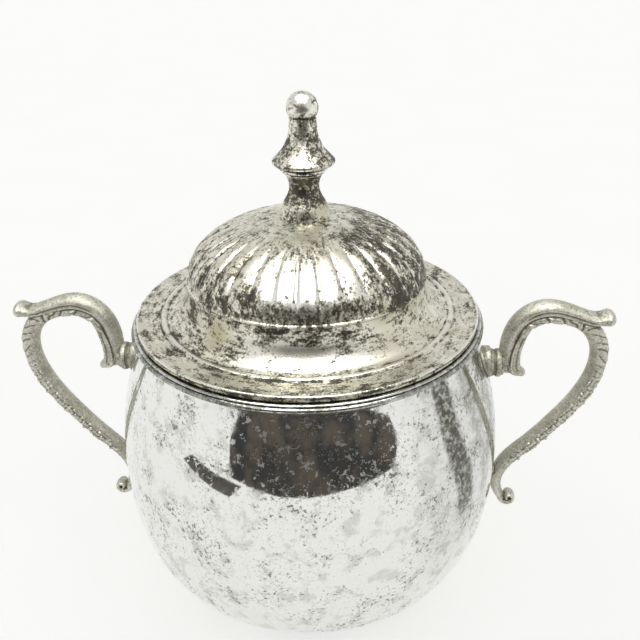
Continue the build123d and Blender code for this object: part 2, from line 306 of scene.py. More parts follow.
def spun_waviness(mesh):
    """Faint unevenness of spun sheet, which bends the reflections a little."""
    at = vertex_array(mesh)
    rng = np.random.default_rng(11)
    turn = np.arctan2(at[:, 1], at[:, 0])
    wave = np.zeros(len(at))
    for count in (2, 3, 5, 7, 9):
        phase, tilt = rng.uniform(0, TURN, 2)
        wave += np.sin(count * turn + phase + 60 * at[:, 2] * math.cos(tilt)) / count
    fade = smoothstep(UNDERSIDE_Z + 4 * MM, UNDERSIDE_Z + 12 * MM, at[:, 2])
    fade *= 1 - smoothstep(NECK_Z - 12 * MM, NECK_Z - 4 * MM, at[:, 2])
    push = 1 + (0.045 * MM * wave * fade / BELLY_RADIUS)
    at[:, :2] *= push[:, None]
    mesh.vertices.foreach_set("co", at.astype(np.float32).ravel())
    mesh.update()


def make_rim(material):
    """Fine bead over a bold bead, with a flat ledge on top and a skirt below."""
    top = MOUTH_Z
    out = MOUTH_RADIUS
    inner = out + 0.02 * MM
    groove_z = top - 0.65 * MM
    foot_z = groove_z - 1.55 * MM
    outline = line((inner, top), (out + 1.1 * MM, top), 4)
    outline += arc((out + 1.35 * MM, top - 0.33 * MM), (0.6 * MM, 0.33 * MM), 90, -70, 14)
    outline += [(out + 1.56 * MM, groove_z - 0.02 * MM)]
    outline += arc((out + 1.65 * MM, (groove_z + foot_z) / 2), (0.95 * MM, 0.74 * MM), 80, -80, 22)
    outline += [(out + 1.5 * MM, foot_z - 0.03 * MM)]
    outline += arc((out + 1.5 * MM, foot_z - 0.83 * MM), (1.45 * MM, 0.8 * MM), 90, 180, 10)
    outline += [(inner, foot_z - 0.83 * MM)]
    verts, faces = lathe_grid(outline, AROUND_BOWL)
    below = (top - verts[:, 2]) / MM
    radius = (np.hypot(verts[:, 0], verts[:, 1]) - out) / MM
    ledge = (1 - smoothstep(0.0, 0.10, below)) * (1 - smoothstep(1.2, 1.6, radius))
    darkening = 0.60 * peak(below, 0.66, 0.14) + 0.7 * smoothstep(1.95, 2.25, below)
    darkening += 0.27 + 0.26 * smoothstep(0.7, 0.9, below) + 0.45 * ledge
    piece = mesh_object("rim_moulding_turned", verts, faces, {"tarnish_and_painted_shade": np.clip(darkening, 0, 1)})
    return finish_piece(piece, "rim_moulding", "bowl", material)


def make_foot(material):
    """Low spun foot with a rounded lip at the table and a fine step under the bowl."""
    outer, joint, under = foot_high.x / MM, foot_high.z / MM, UNDERSIDE_Z / MM
    neck, wall = 33.0, 1.4
    rows = [(outer - wall + 0.2, 0.0), (outer - 0.4, 0.0)]
    rows += arc((outer - 0.4, 0.4), (0.4, 0.4), -90, 60, 9) + [(outer - 0.35, 0.95)]
    rows += arc((outer + 0.2, joint + 0.1), (outer + 0.2 - neck, joint - 0.95), 255, 182, 18)
    rows += [(neck, joint - 0.05), (neck - 0.5, joint - 0.02)]
    rows += [(neck - wall, joint - 0.3), (neck - wall, under + 0.02)]
    rows += arc((outer - 1.0, under), (outer - 1.0 - neck + wall, under), 182, 262, 14)
    verts, faces = lathe_grid([(r * MM, z * MM) for r, z in rows], AROUND_RING)
    keep_out_of_bowl(verts)
    piece = mesh_object("foot_ring_spun", verts, faces)
    return finish_piece(piece, "foot_ring", "bowl", material)


def keep_out_of_bowl(verts):
    """Lower any point of the foot that would stand inside the bowl's wall."""
    side = np.array(bowl_side(0, 200)[:200])
    radius = np.hypot(verts[:, 0], verts[:, 1])
    surface = np.interp(radius, side[:, 0], side[:, 1], left=UNDERSIDE_Z)
    verts[:, 2] = np.minimum(verts[:, 2], surface + 0.25 * MM)


# Lid: flange, ring, hollow shoulder, bead and lobed dome
def lid_outline():
    """Outer outline from the flange's edge to the finial's seat, then back along the underside."""
    corner = 0.32 * MM
    outer = line((LID_RADIUS, FLANGE_Z + 0.02 * MM), (LID_RADIUS, FLANGE_TOP - corner), 3)
    outer += arc((LID_RADIUS - corner, FLANGE_TOP - corner), (corner, corner), 0, 90, 7)
    dip = 0.12 * MM
    edge_foot, ring_foot = LID_RADIUS - 1.5 * MM, RING_RADIUS + 1.35 * RING_HALF
    outer += line((LID_RADIUS - corner, FLANGE_TOP), (edge_foot, FLANGE_TOP - dip), 3)
    outer += line((edge_foot, FLANGE_TOP - dip), (ring_foot, FLANGE_TOP - dip), 12)
    outer += ring_bead(dip)
    outer += arc((SHOULDER_RADIUS, DOME_BASE_Z), (SHOULDER_RUN, SHOULDER_RISE), 268, 180, 34)
    half_bead = DOME_BEAD_HEIGHT / 2
    outer += arc((DOME_RADIUS, DOME_BASE_Z + half_bead), (DOME_BEAD, half_bead), -88, 88, 10)
    seat = math.degrees(math.acos(SEAT_RADIUS / DOME_RADIUS))
    dome = arc((0, DOME_Z), (DOME_RADIUS, DOME_RISE), 0.5, seat, 66)
    dome_start = len(outer)
    outer += dome
    count_outer = len(outer)
    hole = 1.7 * MM
    ceiling = SEAT_Z - LID_WALL
    outer += line((SEAT_RADIUS, SEAT_Z), (hole, SEAT_Z), 5) + [(hole, SEAT_Z), (hole, ceiling)]
    inner_reach = (DOME_RADIUS - LID_WALL, DOME_RISE - LID_WALL)
    top = math.degrees(math.asin((ceiling - DOME_Z) / inner_reach[1]))
    outer += line((2 * hole, ceiling), (inner_reach[0] * math.cos(math.radians(top)), ceiling), 3)
    outer += arc((0, DOME_Z), inner_reach, top, 0, 22)
    outer += [(DOME_RADIUS - LID_WALL, DOME_Z), (DOME_RADIUS - LID_WALL, DOME_BASE_Z)]
    hollow = (SHOULDER_RUN + LID_WALL, SHOULDER_RISE + LID_WALL)
    outer += arc((SHOULDER_RADIUS, DOME_BASE_Z), hollow, 182, 270, 14)
    outer += line((SHOULDER_RADIUS, FLANGE_Z), (LID_RADIUS - 0.15 * MM, FLANGE_Z), 8)
    outer += [(LID_RADIUS - 0.1 * MM, FLANGE_Z)]
    return outer, dome_start, count_outer


def ring_bead(dip):
    """Raised ring: a round bead with a fine groove on its outer side."""
    top = FLANGE_TOP
    bead = [(RING_RADIUS + 1.2 * RING_HALF, top - dip - 0.08 * MM), (RING_RADIUS + RING_HALF, top - dip)]
    bead += arc((RING_RADIUS, top - 0.05 * MM), (RING_HALF * 0.92, RING_RISE + 0.05 * MM), 10, 170, 14)
    return bead + [(SHOULDER_RADIUS - 0.1 * MM, top - 0.02 * MM)]


def press_lobes(verts, row_start, row_end, segments):
    """Swell the dome into lobes parted by narrow creases; returns how deep in a crease each point is."""
    crease = np.zeros(len(verts))
    rows = slice(row_start * segments, row_end * segments)
    at = verts[rows]
    radius = np.hypot(at[:, 0], at[:, 1])
    turn = np.arctan2(at[:, 1], at[:, 0])
    climb = np.arctan2((at[:, 2] - DOME_Z) / DOME_RISE, radius / DOME_RADIUS)
    pitch = TURN / LOBES
    off = np.abs((turn / pitch - 0.5) % 1 - 0.5) * pitch * radius
    half = pitch * radius / 2
    width = CREASE_WIDTH * np.sqrt(radius / DOME_RADIUS)
    fade = smoothstep(LOBE_LOW, LOBE_LOW + 0.16, climb) * (1 - smoothstep(LOBE_HIGH - 0.30, LOBE_HIGH, climb))
    arch = smoothstep(0, 1, np.clip((climb - LOBE_LOW) / 0.14 + 0.2 - 0.9 * (1 - off / half) ** 2, 0, 1))
    cut = np.exp(-((off / width) ** 2)) * fade
    swell = (1 - (1 - off / half) ** 2) * fade * arch
    normal = np.c_[at[:, 0] / DOME_RADIUS**2, at[:, 1] / DOME_RADIUS**2, (at[:, 2] - DOME_Z) / DOME_RISE**2]
    normal /= np.linalg.norm(normal, axis=1)[:, None]
    verts[rows] = at + normal * (LOBE_SWELL * swell - CREASE_DEPTH * cut)[:, None]
    crease[rows] = cut
    return crease


# Tarnish patches: azimuth from the front in degrees, radius, height above the flange and spread in
# millimetres, strength
SOOT_PATCHES = [
    (-44, 31.5, 11.8, 2.4, 0.55), (-36, 31.0, 13.3, 2.0, 0.45), (-22, 31.0, 12.6, 3.2, 0.50),
    (-22, 29.5, 16.0, 2.2, 0.35), (-7, 31.2, 13.0, 3.2, 0.36), (1, 31.2, 12.8, 3.4, 0.36),
    (8, 31.3, 12.6, 3.4, 0.40), (15, 30.9, 13.9, 3.2, 0.40), (27, 31.0, 13.6, 2.2, 0.35),
    (48, 30.4, 14.8, 3.0, 0.50), (53, 31.5, 12.0, 2.6, 0.45), (-48, 22.0, 21.7, 1.6, 0.35),
    (-55, 28.8, 16.9, 2.0, 0.35), (-61, 32.6, 4.6, 3.0, 0.55), (-31, 31.8, 8.0, 2.6, 0.55),
    (-14, 31.8, 7.6, 3.0, 0.60), (6, 31.8, 8.1, 3.2, 0.50), (20, 32.1, 6.2, 3.0, 0.35),
    (51, 32.0, 7.0, 2.6, 0.50), (-49, 35.7, 0.8, 1.4, 0.50), (-42, 36.0, 0.6, 1.2, 0.45),
    (-59, 38.8, 0.0, 2.4, 0.25), (-79, 43.6, 0.0, 3.6, 0.14), (-64, 43.6, 0.0, 3.4, 0.18),
    (-49, 44.3, 0.0, 3.0, 0.30), (-16, 41.5, 0.0, 3.0, 0.32), (-3, 40.8, 0.0, 3.6, 0.32),
    (12, 42.5, 0.0, 3.6, 0.30), (26, 44.8, 0.0, 2.6, 0.45), (48, 45.2, 0.0, 2.4, 0.45),
    (87, 44.2, 0.0, 3.0, 0.35), (150, 31.0, 13.0, 4.0, 0.45), (-150, 31.0, 14.0, 4.0, 0.45),
    (120, 43.0, 0.0, 4.0, 0.35), (-125, 34.0, 4.0, 4.0, 0.40),
]
OLIVE_PATCHES = [
    (-38, 33.0, 4.6, 4.6, 1.0), (42, 31.9, 9.8, 3.6, 0.8), (5, 33.2, 3.8, 4.0, 0.5),
    (160, 33.0, 4.6, 5.0, 0.8),
]
# Patches of bare, glossy metal at the front of the dome and shoulder, set where the lamp's highlights fall:
# partly painted highlights.
BARE_AND_HIGHLIGHT_PATCHES = [
    (-4, 34.6, 1.8, 3.6, 0.7), (9, 34.6, 1.8, 3.6, 0.7), (-17, 34.8, 1.6, 3.4, 0.6),
    (22, 34.8, 1.6, 3.4, 0.5), (4, 28.0, 16.8, 4.0, 1.1), (17, 28.2, 16.4, 2.8, 0.8),
    (-10, 28.0, 16.8, 3.2, 0.9), (31, 28.5, 16.0, 1.6, 0.7), (-27, 31.0, 12.0, 1.4, 0.5),
]


def patch_mask(verts, patches):
    """Sum of soft round patches at their places on the lid."""
    total = np.zeros(len(verts))
    for azimuth, radius, rise, spread, strength in patches:
        turn = math.radians(azimuth)
        spot = np.array([radius * math.sin(turn), -radius * math.cos(turn), rise]) * MM + [0, 0, FLANGE_TOP]
        gap = np.linalg.norm(verts - spot, axis=1) / (spread * MM)
        total += strength * np.exp(-(gap**2))
    return total


def lid_masks(verts, crease):
    """How heavy the tarnish and painted shade are over the lid, and where it is olive, rubbed bare or given
    painted highlights, pale and matt with a painted highlight, or on the dome.
    """
    radius, azimuth = cylindrical(verts)
    height = (verts[:, 2] - FLANGE_TOP) / MM
    rise = SHOULDER_RISE / MM
    from_ring = (radius - RING_RADIUS) / MM
    from_edge = (radius - LID_RADIUS) / MM
    dome = smoothstep(rise - 0.2, rise + 0.8, height)
    skirt = 1 - dome
    right = band(24, 50, 140, 175, azimuth)
    left = band(16, 40, 150, 178, -azimuth)
    front = peak(azimuth, 0, 32)
    back = smoothstep(100, 150, np.abs(azimuth))
    low_dome = dome * (1 - smoothstep(rise + 3.5, rise + 8.5, height))
    cap = 1 - smoothstep(11 * MM, 17 * MM, radius)
    upper = smoothstep(rise + 7, rise + 12, height)

    tarnish_and_painted_shade = 0.27 + 0.14 * left * dome + 0.52 * right * dome * (1 - cap) + 0.13 * low_dome
    tarnish_and_painted_shade -= 0.16 * right * skirt
    # Creases darken on the left; on the right they turn lighter, painted highlight lines along the ridges.
    tarnish_and_painted_shade += crease * (0.10 + 0.34 * left - 0.60 * right) - 0.22 * upper * (1 - right) - 0.08 * back
    tarnish_and_painted_shade += 0.13 * front * skirt + 0.34 * front * smoothstep(20.5, 22.5, height) * (1 - 0.5 * cap)
    tarnish_and_painted_shade += 0.16 * smoothstep(-2.4, -0.6, from_edge) * skirt
    tarnish_and_painted_shade += 0.60 * peak(from_ring, 1.00, 0.35) * skirt + 0.60 * peak(from_ring, -0.92, 0.22) * skirt
    tarnish_and_painted_shade += 0.24 * peak(from_ring, -1.44, 0.7) * skirt * (1 - right)
    # Painted shade: a darker band on the shoulder just under the dome's bead.
    bead_shade_reach = 1 - smoothstep(33.5 * MM, 34.5 * MM, radius)
    tarnish_and_painted_shade += 0.14 * peak(height, rise - 0.9, 1.1) * bead_shade_reach

    # The bare mask: rubbed bare metal on the ring, the dome's bead and the flange corner, with painted
    # highlights in the front patches and along the creases on the right.
    bare_and_highlight = patch_mask(verts, BARE_AND_HIGHLIGHT_PATCHES)
    ring = peak(from_ring, 0, 0.5) * (height > -0.2) * skirt
    bead = peak(height, rise + 0.45, 0.35) * (radius > 31.0 * MM)
    corner = peak(from_edge, -0.2, 0.22) * (height > -0.4)
    tarnish_and_painted_shade += patch_mask(verts, SOOT_PATCHES) - 0.75 * bare_and_highlight - 0.45 * ring - 0.35 * bead - 0.5 * corner
    bare_and_highlight = bare_and_highlight + 0.45 * ring + 0.50 * bead * (1 - 0.6 * right) + 0.7 * corner + 0.25 * crease * right

    # Front of the shoulder under the bead: a rougher film whose pale colour is a painted highlight.
    painted_highlight_below_bead = smoothstep(rise - 5.2, rise - 3.4, height) * skirt
    rim_side = smoothstep(-0.30, -0.42, height) * (from_edge > -0.1)
    return {
        "tarnish_and_painted_shade": np.clip(tarnish_and_painted_shade + 0.25 * rim_side, -0.2, 1.4),
        "olive": np.clip(patch_mask(verts, OLIVE_PATCHES) + 0.5 * rim_side, 0, 1),
        "bare_and_highlight": np.clip(bare_and_highlight, 0, 1),
        "dome": dome,
        "even": cap,
        "dull": painted_highlight_below_bead * np.exp(-((azimuth / 48) ** 4)) * (height < rise),
    }


def make_lid_shell(material):
    segments = LOBES * 20
    outline, dome_start, dome_end = lid_outline()
    verts, faces = lathe_grid(outline, segments)
    crease = press_lobes(verts, dome_start, dome_end, segments)
    piece = mesh_object("lid_shell_pressed", verts, faces, lid_masks(verts, crease))
    return finish_piece(piece, "lid_shell", "lid", material)


def rounded_ring(inner, outer, low, high, rounding, steps=5):
    """Outline of a flat ring with rounded corners."""
    r = (rounding, rounding)
    outline = arc((outer - rounding, low + rounding), r, -90, 0, steps) + [(outer, low + rounding)]
    outline += arc((outer - rounding, high - rounding), r, 0, 90, steps) + [(outer - rounding, high)]
    outline += arc((inner + rounding, high - rounding), r, 90, 180, steps) + [(inner, high - rounding)]
    return outline + arc((inner + rounding, low + rounding), r, 180, 270, steps) + [(inner + rounding, low)]


def make_lid_edge(material):
    outline = rounded_ring(edge_high.x - 1.8 * MM, edge_high.x, edge_low.z, edge_high.z, 0.22 * MM)
    verts, faces = lathe_grid(outline, AROUND_EDGE)
    rise = (verts[:, 2] - edge_low.z) / MM
    low = 1 - smoothstep(0.12, 0.34, rise)
    high = smoothstep(0.60, 0.72, rise)
    # Darker at the foot of the wire: painted shade of the gap between the lid and the rim. Slightly darker at
    # the top, where it meets the flange.
    masks = {"tarnish_and_painted_shade": 0.50 + 0.45 * low + 0.2 * high, "olive": np.full(len(verts), 0.35)}
    piece = mesh_object("lid_edge_wire", verts, faces, masks)
    return finish_piece(piece, "lid_edge", "lid", material)


def make_lid_bezel(material):
    """Bezel with a slight roll at its lower edge."""
    outline = rounded_ring(bezel_high.x - 0.9 * MM, bezel_high.x, bezel_low.z, bezel_high.z, 0.3 * MM)
    piece = mesh_object("lid_bezel_ring", *lathe_grid(outline, AROUND_RING))
    return finish_piece(piece, "lid_bezel", "lid", material)


# Finial
# Turned profile in millimetres: (radius, height above the seat)
FINIAL_NECK = [
    (6.6, 0.0), (6.62, 0.25), (6.45, 0.9), (6.1, 2.6), (4.9, 5.0), (3.95, 7.3), (3.95, 9.2), (4.55, 10.9),
    (4.85, 11.4),
]
FINIAL_BELL = [
    (7.74, 15.2), (6.70, 16.3), (5.25, 18.1), (4.25, 20.0), (3.80, 21.4), (3.55, 23.2), (3.44, 25.3),
]
FINIAL_BALL = 4.0
FINIAL_BALL_Z = 27.9


def finial_outline():
    """Outline from the seat upwards; the rows are millimetres above the seat until the last line."""
    neck, _ = smooth_spline(FINIAL_NECK, 46)
    bell, _ = smooth_spline(FINIAL_BELL, 44)
    rows = [(0.0, 0.0), (5.0, 0.0), *neck, (4.9, 11.5)]
    rows += arc((4.85, 11.85), (0.45, 0.33), -80, 80, 9) + [(4.95, 12.24)]
    rows += arc((5.25, 12.82), (0.98, 0.58), -75, 62, 12) + [(5.62, 13.40), (5.75, 13.46), (6.75, 13.80)]
    rows += arc((7.15, 14.65), (0.85, 0.80), -62, 36, 12)
    rows += [*bell, (3.3, 25.48), (3.12, 25.56), (3.1, 25.8), (3.22, 25.92)]
    rows += arc((0, FINIAL_BALL_Z), (FINIAL_BALL, FINIAL_BALL), -28, 89, 34)
    return [(r * MM, SEAT_Z + z * MM) for r, z in rows] + [(0.0, finial_high.z)]


def make_finial(material):
    verts, faces = lathe_grid(finial_outline(), AROUND_FINIAL)
    height = (verts[:, 2] - SEAT_Z) / MM
    azimuth = cylindrical(verts)[1]
    neck = band(3.2, 5.6, 11.0, 11.6, height)
    groove = sum(peak(height, z, width) for z, width in ((25.7, 0.30), (12.15, 0.16), (13.45, 0.18)))
    upper = band(18, 22, 25.5, 26.2, height)
    bell = band(14.2, 15, 19, 24, height)
    # Cleaner, brighter patch on the front of the bell: partly a painted highlight where the lamp's reflection
    # falls.
    front = peak(azimuth, 4, 26) * bell
    base = 1 - smoothstep(2.5, 4.5, height)
    ball = smoothstep(26.4, 27.4, height)
    rings = band(11.5, 11.8, 14.0, 14.6, height)
    tarnish_and_painted_shade = 0.40 + 0.66 * neck + 0.9 * groove + 0.20 * upper + 0.28 * bell - 0.42 * front
    tarnish_and_painted_shade -= 0.10 * ball + 0.10 * base + 0.20 * rings
    low_right = band(15, 50, 110, 150, azimuth) * (1 - smoothstep(4, 8, height))
    masks = {
        "tarnish_and_painted_shade": np.clip(tarnish_and_painted_shade, 0, 1.4),
        "olive": np.clip(0.5 * low_right + 0.25 * neck, 0, 1),
        "bare_and_highlight": np.clip(0.1 * front + 0.42 * ball + 0.5 * rings + 0.15 * bell + 0.40 * upper, 0, 1),
        "dome": np.full(len(verts), 0.5),
        "even": np.ones(len(verts)),
    }
    piece = mesh_object("finial_turned", verts, faces, masks)
    return finish_piece(piece, "finial", "lid", material)


# Handles. Stations are (x, z, thickness, breadth) in millimetres: x out from the
# bowl's widest radius, z up from its widest plane.
SPINE = [
    (1.6, 25.5, 3.4, 4.2), (1.4, 31.0, 4.5, 5.0), (2.5, 37.9, 4.4, 5.6), (5.7, 42.4, 4.3, 5.8),
    (10.7, 44.5, 4.2, 6.0), (16.5, 43.7, 3.7, 6.0), (22.0, 41.9, 3.1, 6.2), (25.2, 41.35, 3.2, 6.6),
    (27.4, 41.7, 4.2, 7.2),
]
TONGUE = [
    (6.5, 39.4, 2.8, 4.6), (4.4, 36.0, 3.7, 6.0), (3.2, 31.8, 4.2, 6.4), (3.0, 27.8, 4.5, 6.4),
    (4.0, 25.2, 3.8, 5.8), (5.9, 24.1, 2.2, 3.8),
]
ARM = [
    (3.8, 35.8, 2.6, 4.2), (6.4, 39.4, 3.0, 4.8), (10.5, 41.5, 3.4, 5.2), (16.5, 41.6, 3.9, 5.4),
    (22.4, 39.0, 4.6, 5.4), (25.8, 34.2, 5.0, 5.5), (26.5, 28.0, 5.0, 5.5), (24.7, 20.5, 5.0, 5.5),
    (21.1, 13.6, 4.9, 5.4), (16.0, 6.6, 4.7, 5.2), (9.9, -0.7, 4.6, 5.0), (4.6, -6.7, 4.4, 4.8),
    (2.2, -12.4, 3.8, 4.5), (2.4, -17.0, 3.1, 4.2), (4.1, -20.8, 2.3, 4.0),
]
VOLUTE_CENTRE = (6.2, -20.6)
SOLDER_Z = -10.2
FUSE_VOXEL = 0.18 * MM


def limb(stations, relief=None, spacing=0.22, end_bulge=0.5):
    """A cast limb: oval sections along a smooth route in the XZ plane, with relief along their normals."""
    rough_run = np.linalg.norm(np.diff(np.array(stations)[:, :2], axis=0), axis=1).sum()
    rows, run = smooth_spline(stations, int(rough_run / spacing))
    x, z, thick, broad = rows.T
    tx, tz = np.gradient(x), np.gradient(z)
    size = np.hypot(tx, tz)
    tx, tz = tx / size, tz / size
    turn = np.arange(AROUND_LIMB) * TURN / AROUND_LIMB
    cos, sin = np.cos(turn)[None], np.sin(turn)[None]
    lift = relief(run[:, None], turn[None], run[-1]) if relief else np.zeros((len(x), AROUND_LIMB))

    def ring(k, share, slide):
        half_t, half_b = thick[k, None] / 2, broad[k, None] / 2
        steep = np.hypot(cos / half_t, sin / half_b)
        across = share * (half_t * cos + lift[k] * (cos / half_t) / steep)
        side = share * (half_b * sin + lift[k] * (sin / half_b) / steep)
        cx, cz = x[k, None] + slide * tx[k, None], z[k, None] + slide * tz[k, None]
        return np.stack([cx - across * tz[k, None], side, cz + across * tx[k, None]], axis=-1)

    first, last = np.array([0]), np.array([len(x) - 1])
    start_reach, end_reach = -0.5 * thick[0], end_bulge * thick[-1]
    close_up = np.radians(np.linspace(8, 82, 8))
    rings = [ring(first, math.cos(a), start_reach * math.sin(a)) for a in reversed(close_up)]
    rings.append(ring(np.arange(len(x)), 1.0, 0.0))
    rings += [ring(last, math.cos(a) ** 0.85, end_reach * math.sin(a)) for a in close_up]
    body = np.concatenate(rings, axis=0)
    tips = ((0, start_reach), (-1, end_reach))
    tips = [(x[k] + tx[k] * reach, 0, z[k] + tz[k] * reach) for k, reach in tips]
    verts = np.concatenate([body.reshape(-1, 3), tips])
    start_tip = len(body) * AROUND_LIMB
    top = start_tip - AROUND_LIMB
    faces = []
    for j in range(AROUND_LIMB):
        k = (j + 1) % AROUND_LIMB
        for i in range(0, top, AROUND_LIMB):
            above = i + AROUND_LIMB
            faces.append((above + j, above + k, i + k, i + j))
        faces += [(j, k, start_tip), (top + k, top + j, start_tip + 1)]
    return verts, faces


def section_bearing(turn):
    """Angle round the section from its outer side, 0 to 180 degrees on either side."""
    return np.degrees(np.where(turn > math.pi, TURN - turn, turn))


def spine_relief(run, turn, length):
    """Fine bead along both lower edges with a groove above it, hollowed underneath."""
    bearing = section_bearing(turn)
    along = band(15, 22, length - 4.5, length - 1.5, run)
    under = smoothstep(138, 158, bearing)
    tip = band(length - 4, length - 1, length - 0.9, length - 0.2, run)
    relief = along * (0.34 * peak(bearing, 124, 9) - 0.34 * peak(bearing, 101, 8) - 0.55 * under)
    return relief - 0.28 * tip * peak(bearing, 95, 26)


def tongue_relief(run, turn, length):
    """Leaf with a raised border round a sunk light face, and a dark slit near the root."""
    along = band(2, 5, length - 2.6, length - 1.0, run)
    bearing = section_bearing(turn)
    face = -0.50 * np.exp(-(((bearing - 82) / 26) ** 8))
    slit = -0.90 * peak(bearing, 122, 7) * (1 - smoothstep(0.62 * length, 0.80 * length, run))
    return along * (face + slit + 0.22 * peak(bearing, 46, 8))


def arm_relief(run, turn, length):
    """Leaf lobes under the spine, slanting ribs at the corner, then flakes; a smooth inner side."""
    bearing = np.degrees(np.where(turn > math.pi, turn - TURN, turn))
    around = np.abs(bearing)
    leaf_zone = band(3, 6, 19, 22, run) * np.exp(-(((around - 108) / 44) ** 4))
    rib_zone = band(18, 21, 33, 38, run) * band(6, 24, 92, 118, around)
    flake_zone = band(34, 38, 0.78 * length, 0.90 * length, run) * band(14, 34, 104, 124, around)
    bead = 0.10 * np.sin(TURN * run / 1.3) * peak(around, 0, 14) * band(18, 22, 50, 62, run)
    relief = rib_zone * arm_ribs(run, around) + flake_zone * arm_flakes(run, around, bearing > 0)
    return relief + leaf_zone * arm_leaf(run, around) + bead


def arm_ribs(run, around):
    rib_run = (run + 0.035 * (around - 60)) / 2.5 + 0.16 * np.sin(0.9 * run)
    row = rib_run % 1
    size = 0.35 + np.abs(np.sin(5.3 * np.floor(rib_run))) * 0.65
    rib = 0.42 * size * np.sin(math.pi * row) ** 0.8 * (1.2 - 0.5 * row) - 0.22
    return rib - 0.16 * peak(np.minimum(row, 1 - row), 0, 0.08)


def arm_flakes(run, around, near_side):
    """Rows of flakes in lanes, each raised at its start and falling away along the arm."""
    lane = np.floor(around / 34)
    over = around / 34 - lane - 0.5
    wander = 0.25 * np.sin(1.7 * run + 2.1 * lane) + 0.18 * np.sin(0.63 * run + 4.0)
    row = run / 2.5 + 0.5 * (lane % 2) + 0.9 * over**2 + wander + 0.25 * near_side
    seed = np.abs(np.sin(lane * 12.9 + np.floor(row) * 78.2 + 3.1 * near_side) * 43758.5) % 1
    saw = row % 1
    return (1 - saw) * (0.20 + 0.9 * seed) * (1 - (2 * over) ** 4) - 0.60 * peak(saw, 0.04, 0.11) - 0.10


def arm_leaf(run, around):
    beat_run = (run - 0.030 * (around - 90)) / 3.3 + 0.22 * np.sin(1.3 * run)
    beat = beat_run % 1
    size = 0.7 + 0.6 * (np.abs(np.sin(np.floor(beat_run) * 7.7)) % 1)
    return 1.05 * size * np.sin(math.pi * beat) ** 0.55 * (1 - 0.35 * beat) - 0.80


def volute_stations():
    """Spiral that carries on from the arm's lower end and winds in to the volute's centre."""
    cx, cz = VOLUTE_CENTRE
    stations = []
    for t in np.linspace(0, 1, 22):
        turn = math.radians(176 + 400 * t)
        reach = 2.3 * (1 - t) + 0.35 * t
        thick, broad = 2.2 * (1 - t) + 1.1 * t, 4.0 + 0.7 * t
        stations.append((cx + reach * math.cos(turn), cz + reach * math.sin(turn), thick, broad))
    return stations


def solder_stations():
    """Short lug that joins the arm to the bowl's wall."""
    inner = (bowl_radius_at(BELLY_Z - SOLDER_Z * MM) - BELLY_RADIUS) / MM - 0.4
    return [(inner, SOLDER_Z - 0.6, 3.8, 3.6), (0.5, SOLDER_Z - 0.3, 3.3, 3.4), (2.4, SOLDER_Z, 3.2, 3.4)]


def joined_limbs():
    """All limbs of the right handle as one set of overlapping closed meshes, in the row frame."""
    parts = [
        limb(SPINE, spine_relief, end_bulge=0.45),
        limb(TONGUE, tongue_relief),
        limb(ARM, arm_relief),
        limb(volute_stations(), spacing=0.16),
        limb(solder_stations()),
    ]
    faces, base = [], 0
    for part_verts, part_faces in parts:
        faces.extend(tuple(i + base for i in f) for f in part_faces)
        base += len(part_verts)
    verts = np.concatenate([part_verts for part_verts, _ in parts])
    return verts * MM + [BELLY_RADIUS, 0, BELLY_Z], faces


def fused(verts, faces):
    """Overlapping closed meshes fused into one skin of quads."""
    rough = mesh_object("handle_rough", verts, faces)
    remesh = rough.modifiers.new("fuse", "REMESH")
    remesh.mode = "VOXEL"
    remesh.voxel_size = FUSE_VOXEL
    remesh.use_smooth_shade = True
    smooth = rough.modifiers.new("soften", "SMOOTH")
    smooth.factor = 0.5
    smooth.iterations = 1
    bpy.context.view_layer.update()
    dg = bpy.context.evaluated_depsgraph_get()
    mesh = bpy.data.meshes.new_from_object(rough.evaluated_get(dg))
    bpy.data.objects.remove(rough)
    at = vertex_array(mesh)
    quads = [tuple(p.vertices) for p in mesh.polygons if len(p.vertices) == 4]
    bpy.data.meshes.remove(mesh)
    return at, quads


def hollow_mask(verts, faces, reach):
    """How far each point lies below the average of its surroundings, in metres."""
    quad = np.array(faces)
    ends = np.concatenate([quad[:, [i, (i + 1) % 4]] for i in range(4)])
    pairs = np.unique(np.sort(ends, axis=1), axis=0)
    count = np.bincount(pairs.ravel(), minlength=len(verts))[:, None]
    spread = verts.copy()
    for _ in range(reach):
        total = np.zeros_like(spread)
        np.add.at(total, pairs[:, 0], spread[pairs[:, 1]])
        np.add.at(total, pairs[:, 1], spread[pairs[:, 0]])
        spread = (spread + total) / (count + 1)
    normal = np.zeros_like(verts)
    across = np.cross(verts[quad[:, 2]] - verts[quad[:, 0]], verts[quad[:, 3]] - verts[quad[:, 1]])
    for i in range(4):
        np.add.at(normal, quad[:, i], across)
    normal /= np.linalg.norm(normal, axis=1)[:, None] + 1e-12
    return np.einsum("ij,ij->i", spread - verts, normal)


def keep_off_bowl(verts):
    """Push points that reach through the bowl's wall back to just inside its outer face."""
    height = np.clip(verts[:, 2], BELLY_Z - 30 * MM, MOUTH_Z)
    wall = bowl_radius_at(height) - 0.35 * MM
    radius = np.hypot(verts[:, 0], verts[:, 1])
    share = np.where(radius < wall, wall / radius, 1.0)
    verts[:, :2] *= share[:, None]


def make_handles(material):
    verts, faces = fused(*joined_limbs())
    keep_off_bowl(verts)
    # Painted shade: the tops of the handles are made darker and less rubbed, toning down the overhead lamp
    # there.
    top_painted_shade = 0.20 * smoothstep(BELLY_Z + 39 * MM, BELLY_Z + 44 * MM, verts[:, 2])
    hollow = hollow_mask(verts, faces, 14) / (0.11 * MM) + top_painted_shade
    for side, sign in (("right", 1), ("left", -1)):
        masks = {"hollow": np.clip(hollow, -1, 1)}
        piece = mesh_object(f"handle_{side}_cast", verts * [sign, 1, 1], faces, masks)
        finish_piece(piece, f"handle_{side}", "bowl", material)


